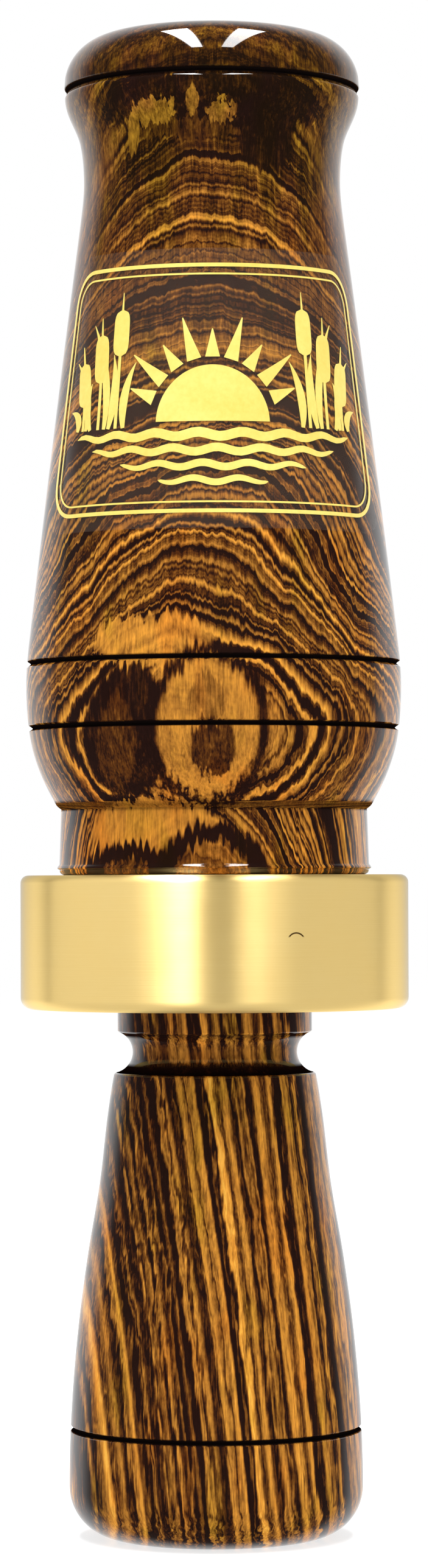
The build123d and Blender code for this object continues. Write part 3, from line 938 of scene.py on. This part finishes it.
def make_film(material):
    """The film, a wrapped rectangle with rounded corners."""
    made = bmesh.new()
    half_width = FILM_HALF_ANGLE * WRAP_RADIUS
    half_height = (FILM_TOP - FILM_BOTTOM) / 2
    rows, columns = 48, 72
    grid = []
    for i in range(rows + 1):
        up = -half_height + 2 * half_height * i / rows
        reach = half_width - corner_inset(abs(up) - (half_height - FILM_CORNER), FILM_CORNER)
        grid.append(
            [wrapped(-reach + 2 * reach * j / columns, up, FILM_LIFT) for j in range(columns + 1)]
        )
    add_plate(made, grid, lambda point: outwards(point, FILM_THICKNESS))
    piece = finish_mesh("emblem_film_skin", made, "barrel", material)
    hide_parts("emblem_film")


def add_stroke(made, path, half_widths):
    """Adds a stroke of the print: a closed thin plate along a flat path, of varying width."""
    points = [Vector(p) for p in path]
    widest = max(half_widths)
    columns = max(1, math.ceil(2 * widest / PRINT_MESH_STEP))
    grid = []
    for i, point in enumerate(points):
        ahead = points[min(i + 1, len(points) - 1)]
        behind = points[max(i - 1, 0)]
        along = (ahead - behind).normalized()
        side = Vector((-along.y, along.x)) * half_widths[i]
        row = []
        for j in range(columns + 1):
            flat = point - side + 2 * side * j / columns
            row.append(wrapped(flat.x, flat.y, FILM_LIFT + FILM_THICKNESS))
        grid.append(row)
    add_plate(made, grid, lambda point: outwards(point, PRINT_THICKNESS))


def add_blade(made, start, end, bow):
    """Adds a stroke that bows sideways, swells from its start and narrows to its end."""
    a, b = Vector(start), Vector(end)
    side = Vector((-(b - a).y, (b - a).x)).normalized() * bow
    shares = [i / BLADE_STEPS for i in range(BLADE_STEPS + 1)]
    path = [a.lerp(b, t) + side * 4 * t * (1 - t) for t in shares]
    foot, widest, tip = BLADE_HALF_WIDTHS
    widths = []
    for t in shares:
        if t < BLADE_PEAK:
            widths.append(foot + (widest - foot) * math.sin(math.pi / 2 * t / BLADE_PEAK))
        else:
            past = (t - BLADE_PEAK) / (1 - BLADE_PEAK)
            widths.append(tip + (widest - tip) * math.cos(math.pi / 2 * past))
    add_stroke(made, path, widths)


def rounded_frame(half_width, half_height, corner):
    """A closed rounded rectangle, as a flat path that starts and ends at its bottom middle."""
    path = [(x * half_width, -half_height) for x in (0, 0.25, 0.5, 0.7)]
    corners = (
        ((half_width - corner, corner - half_height), -90),
        ((half_width - corner, half_height - corner), 0),
        ((corner - half_width, half_height - corner), 90),
        ((corner - half_width, corner - half_height), 180),
    )
    for centre, start in corners:
        path += arc(centre, corner, start, start + 90, 10)
    path += [(-x * half_width, -half_height) for x in (0.7, 0.5, 0.25, 0)]
    dense = []
    for a, b in zip(path, path[1:]):
        pieces = max(1, math.ceil((Vector(b) - Vector(a)).length / FRAME_MESH_STEP))
        dense += [tuple(Vector(a).lerp(Vector(b), i / pieces)) for i in range(pieces)]
    return dense + [path[-1]]


def add_sun(made):
    """The half sun and its rays."""
    steps = 30
    lowest_ray = 22
    heights = [SUN_RADIUS * math.sin(math.pi / 2 * i / steps) for i in range(steps + 1)]
    widths = [max(math.sqrt(max(SUN_RADIUS**2 - h**2, 0.0)), 0.03) for h in heights]
    add_stroke(made, [(0, SUN_FOOT + h) for h in heights], widths)
    for i in range(RAY_COUNT):
        turn = math.radians(lowest_ray + (180 - 2 * lowest_ray) * i / (RAY_COUNT - 1))
        away = Vector((math.cos(turn), math.sin(turn)))
        length = RAY_ENDS[i % 2] - RAY_START
        shares = [k / RAY_STEPS for k in range(RAY_STEPS + 1)]
        path = [Vector((0, SUN_FOOT)) + away * (RAY_START + length * t) for t in shares]
        add_stroke(made, path, [RAY_HALF_WIDTH * (1 - t) + 0.05 for t in shares])


def add_ripples(made):
    """Ripples under the horizon, shorter towards the bottom."""
    shares = [k / RIPPLE_STEPS for k in range(RIPPLE_STEPS + 1)]
    for row, (half_length, thick) in enumerate(RIPPLES):
        level = HORIZON - 0.75 - RIPPLE_SPACING * row
        turns = 2 * math.pi * 2 * half_length / RIPPLE_LENGTH
        path = [
            (half_length * (2 * t - 1), level + RIPPLE_HEIGHT * math.sin(turns * t + row))
            for t in shares
        ]
        add_stroke(made, path, [thick * math.sin(math.pi * t) ** 0.35 + 0.02 for t in shares])


def cattail_path(side, foot, lean, top, low, high, steps):
    """The points between two heights of a cattail whose lean grows towards its top."""
    levels = [low + (high - low) * k / steps for k in range(steps + 1)]
    shares = [(level - HORIZON) / (top - HORIZON) for level in levels]
    return [(side * (foot + lean * t * t), level) for t, level in zip(shares, levels)]


def add_reeds(made, side):
    """One side's cattails, each a stem and a head, with blades between them."""
    for foot, lean, head_low, head_high in CATTAILS:
        top = head_high + SPIKE_LENGTH
        stem = cattail_path(side, foot, lean, top, HORIZON, top, len(STEM_HALF_WIDTHS) - 1)
        add_stroke(made, stem, STEM_HALF_WIDTHS)
        head = cattail_path(side, foot, lean, top, head_low, head_high, HEAD_STEPS)
        middle = HEAD_STEPS / 2
        shares = [abs(k / middle - 1) for k in range(HEAD_STEPS + 1)]
        add_stroke(made, head, [HEAD_HALF_WIDTH * (1 - t**5) ** 0.5 + 0.03 for t in shares])
    for foot, tip, height, bow in BLADES:
        add_blade(made, (side * foot, HORIZON), (side * tip, HORIZON + height), side * -bow)


def make_print(material):
    """A plain marsh scene: sun, rays, cattails and ripples in a thin double frame."""
    made = bmesh.new()
    for half_width, half_height, corner, line in FRAME_LINES:
        path = rounded_frame(half_width, half_height, corner)
        add_stroke(made, path, [line] * len(path))
    add_sun(made)
    add_ripples(made)
    for side in (-1, 1):
        add_reeds(made, side)
    finish_mesh("emblem_print", made, "barrel", material)


# ---- The pieces inside ----
REED_ROWS = 60
REED_COLUMNS = 16
REED_THICKNESS = 0.25
REED_CORNER = 2.4
# How far past the clamp the reeds start to bend.
UPPER_STAND_OFF = 0.387
DIMPLE_HEIGHT = 99.0
DIMPLE_DEPTH = 0.25
DIMPLE_RADIUS = 1.3
WEDGE_VOXEL = 0.18
PIT_SPACING = 0.55
PIT_THRESHOLD = 0.25
PIT_DEPTH = 0.35


def make_reed(node, material, stand_off, dimple_depth):
    """A reed that bends from its clamp to its tip. stand_off is how far its tip leans out."""
    low, high = (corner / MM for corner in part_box(node))
    clamp_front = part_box("wedge")[1].z / MM
    half_width = high.x
    back = high.y
    made = bmesh.new()
    grid = []
    for i in range(REED_ROWS + 1):
        height = low.z + (high.z - low.z) * i / REED_ROWS
        reach = half_width - corner_inset(height - (high.z - REED_CORNER), REED_CORNER)
        lean = stand_off * max(0.0, height - clamp_front) / (high.z - clamp_front)
        row = []
        for j in range(REED_COLUMNS + 1):
            across = -reach + 2 * reach * j / REED_COLUMNS
            away = math.hypot(across, height - DIMPLE_HEIGHT)
            dent = dimple_depth * max(0.0, 1 - (away / DIMPLE_RADIUS) ** 2) ** 2
            row.append(Vector((across, back - lean + dent, height)) * MM)
        grid.append(row)
    add_plate(made, grid, lambda point: point - Vector((0, REED_THICKNESS, 0)) * MM)
    piece = finish_mesh(f"{node}_strip", made, None, material)
    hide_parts(node)
    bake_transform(piece)


def make_wedge(material):
    """The cork wedge: the CAD block, remeshed, softened at its edges and pitted."""
    piece = add_object("cork_wedge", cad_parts["wedge"].data.copy())
    remesh = piece.modifiers.new("remesh", "REMESH")
    remesh.mode = "VOXEL"
    remesh.voxel_size = WEDGE_VOXEL * MM
    soften = piece.modifiers.new("soften", "SMOOTH")
    soften.iterations = 4
    bpy.context.view_layer.update()
    evaluated = piece.evaluated_get(bpy.context.evaluated_depsgraph_get())
    shaped = bpy.data.meshes.new_from_object(evaluated)
    piece.modifiers.clear()
    piece.data = shaped
    for vert in shaped.vertices:
        speckle = noise.noise(vert.co / (PIT_SPACING * MM))
        pit = max(0.0, speckle - PIT_THRESHOLD)
        vert.co -= vert.normal * pit * PIT_DEPTH * MM
    for face in shaped.polygons:
        face.use_smooth = True
    shaped.materials.clear()
    shaped.materials.append(material)
    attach(piece, "insert")
    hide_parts("wedge")


def dress_tone_board(material):
    """The tone board keeps its CAD shape and gets its plastic."""
    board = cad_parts["tone_board"]
    board.data.materials.clear()
    board.data.materials.append(material)


make_barrel()
brass_band = make_band()
make_end_piece()
make_o_rings(rubber())
make_film(film())
make_print(print_gold())
reed_material = reed_plastic()
make_reed("lower_reed", reed_material, 0.0, 0.0)
make_reed("upper_reed", reed_material, UPPER_STAND_OFF, DIMPLE_DEPTH)
make_wedge(cork())
dress_tone_board(acetal())

# ---- Stage, light and camera ----
LOOK_DISTANCE = 428.0
LOOK_HEIGHT = 59.0
TILT = math.radians(1.15)
ROLL = math.radians(-0.19)
LENS = 109.0
SOFTBOX_HEIGHT_M = 0.72
SOFTBOX_LENGTH_M = 0.74
SOFTBOX_ALONG_M = -0.19
# Each softbox and each strip: name, place across in m, width in m and radiance.
SOFTBOXES = (("softbox_left", -0.135, 0.105, 24.0), ("softbox_right", 0.148, 0.11, 18.0))
BRASS_STRIPS = (("strip_left", -0.183, 0.125, 54.0), ("strip_right", 0.203, 0.09, 20.0))
STRIP_DROP_M = 0.01
# Each card that the brass mirrors: name, azimuth from the front in degrees and radiance.
BRASS_CARDS = (("card_front", 0, 0.34), ("card_left", -68, 1.2), ("card_right", 68, 0.9))
CARD_DISTANCE_M = 1.1
CARD_SIDE_M = 2.2
FLOOR_CARD_WIDTH_M = 1.6
FLOOR_CARD_HEIGHT_M = 0.0005
FLOOR_CARD_RADIANCE = 0.9
FLOOR_RADIUS_M = 2.5
AMBIENT = 0.56


def make_floor():
    """A round pale floor that glows a little and that no gloss mirrors."""
    made = bmesh.new()
    bmesh.ops.create_circle(made, cap_ends=True, radius=FLOOR_RADIUS_M, segments=96)
    mesh = bpy.data.meshes.new("floor")
    made.to_mesh(mesh)
    made.free()
    floor = add_object("floor", mesh)
    paper = Look("pale_floor")
    paper.set(base_color=linear((0.68, 0.68, 0.68)), roughness=0.9, specular_ior_level=0.0)
    paper.set(emission_color=(1, 1, 1, 1), emission_strength=0.75)
    mesh.materials.append(paper.material)
    floor.visible_glossy = False


def make_area_light(name, shape, width_m, length_m, radiance, piece, only):
    """An area light of even radiance that lights a piece only, or all but that piece."""
    light = bpy.data.lights.new(name, "AREA")
    light.shape = shape
    light.size = width_m
    light.size_y = length_m
    share = math.pi / 4 if shape == "ELLIPSE" else 1.0
    light.energy = radiance * math.pi * width_m * length_m * share
    holder = add_object(name, light)
    receivers = bpy.data.collections.new(name)
    receivers.objects.link(piece)
    receivers.collection_objects[0].light_linking.link_state = "INCLUDE" if only else "EXCLUDE"
    holder.light_linking.receiver_collection = receivers
    holder.visible_camera = False
    return holder


def make_overhead(name, across_m, width_m, radiance, height_m, piece, only):
    """A long light above the call that faces straight down."""
    holder = make_area_light(name, "RECTANGLE", width_m, SOFTBOX_LENGTH_M, radiance, piece, only)
    holder.location = (across_m, SOFTBOX_ALONG_M, height_m)


def make_brass_cards(band):
    """White cards around the call and strips above it that only the brass mirrors."""
    for name, azimuth, radiance in BRASS_CARDS:
        holder = make_area_light(name, "RECTANGLE", CARD_SIDE_M, CARD_SIDE_M, radiance, band, True)
        turn = math.radians(azimuth)
        away = Vector((math.sin(turn), -math.cos(turn), 0))
        holder.location = away * CARD_DISTANCE_M + Vector((0, 0, CARD_SIDE_M / 2))
        holder.rotation_euler = away.to_track_quat("Z", "Y").to_euler()
    for strip in BRASS_STRIPS:
        make_overhead(*strip, SOFTBOX_HEIGHT_M - STRIP_DROP_M, band, True)
    sides = (FLOOR_CARD_WIDTH_M, FLOOR_CARD_WIDTH_M)
    holder = make_area_light("card_floor", "ELLIPSE", *sides, FLOOR_CARD_RADIANCE, band, True)
    holder.location = (0, 0, FLOOR_CARD_HEIGHT_M)
    holder.rotation_euler = (math.pi, 0, 0)


def make_world():
    """A white studio. The lacquer sees it dim on the camera's side and white behind the call."""
    world = bpy.data.worlds.new("studio")
    nodes = Nodes(world)
    depth = nodes.split(nodes.new("TexCoord").outputs["Generated"])[1]
    stops = ((-1.0, 0.03), (-0.6, 0.03), (0.0, 0.05), (0.32, 0.1), (0.74, 1.0))
    stops = [(at, (strength, strength, strength, 1.0)) for at, strength in stops]
    strength = nodes.ramp(depth, -1.0, 1.0, stops, "EASE")
    path = nodes.new("LightPath")
    for ray, value in (("Is Diffuse Ray", AMBIENT), ("Is Camera Ray", 1.0)):
        choose = nodes.new("Mix")
        nodes.put(path.outputs[ray], choose.inputs[0])
        nodes.put(strength, choose.inputs[2])
        nodes.put(value, choose.inputs[3])
        strength = choose.outputs[0]
    background = nodes.tree.nodes["Background"]
    nodes.put(strength, background.inputs["Strength"])
    nodes.put((1, 1, 1, 1), background.inputs["Color"])
    bpy.context.scene.world = world


def make_camera():
    """The camera at the photograph's place, tilted up a little."""
    camera = bpy.data.cameras.new("camera")
    camera.lens = LENS
    camera.sensor_width = 36
    camera.clip_start = 0.01
    holder = add_object("camera", camera)
    holder.matrix_world = (
        Matrix.Translation(Vector((0, -LOOK_DISTANCE, LOOK_HEIGHT)) * MM)
        @ Matrix.Rotation(math.radians(90) + TILT, 4, "X")
        @ Matrix.Rotation(ROLL, 4, "Z")
    )
    bpy.context.scene.camera = holder


make_floor()
make_world()
make_brass_cards(brass_band)
for softbox in SOFTBOXES:
    make_overhead(*softbox, SOFTBOX_HEIGHT_M, brass_band, False)
make_camera()
bpy.context.scene.view_settings.view_transform = "Standard"
